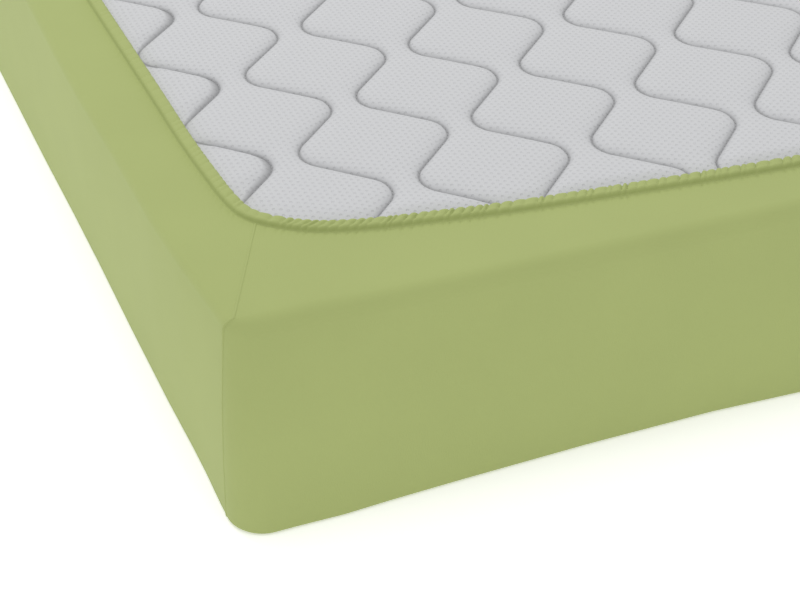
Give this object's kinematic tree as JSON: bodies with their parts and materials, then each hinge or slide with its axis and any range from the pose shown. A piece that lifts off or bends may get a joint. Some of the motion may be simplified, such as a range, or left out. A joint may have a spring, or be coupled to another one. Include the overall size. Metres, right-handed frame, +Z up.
{
  "type": "fitted sheet on a mattress",
  "caption": "Stretch fitted sheet pulled over a mattress that lies face down, its rolled elastic hem framing the bare quilted side.",
  "frame": {"origin": "centre of the flat face the covered mattress rests on", "axes": "+X along the short sides, +Y along the long sides, +Z up through the bare field"},
  "size_m": [1.4114, 2.0094, 0.2055],
  "materials": {
    "sheet_cloth": "fine matte stretch jersey, olive green",
    "mattress_ticking": "pale grey quilted knit, matte"
  },
  "bodies": {
    "root": {"fitted_sheet": "sheet_cloth", "mattress": "mattress_ticking"}
  },
  "joints": []
}
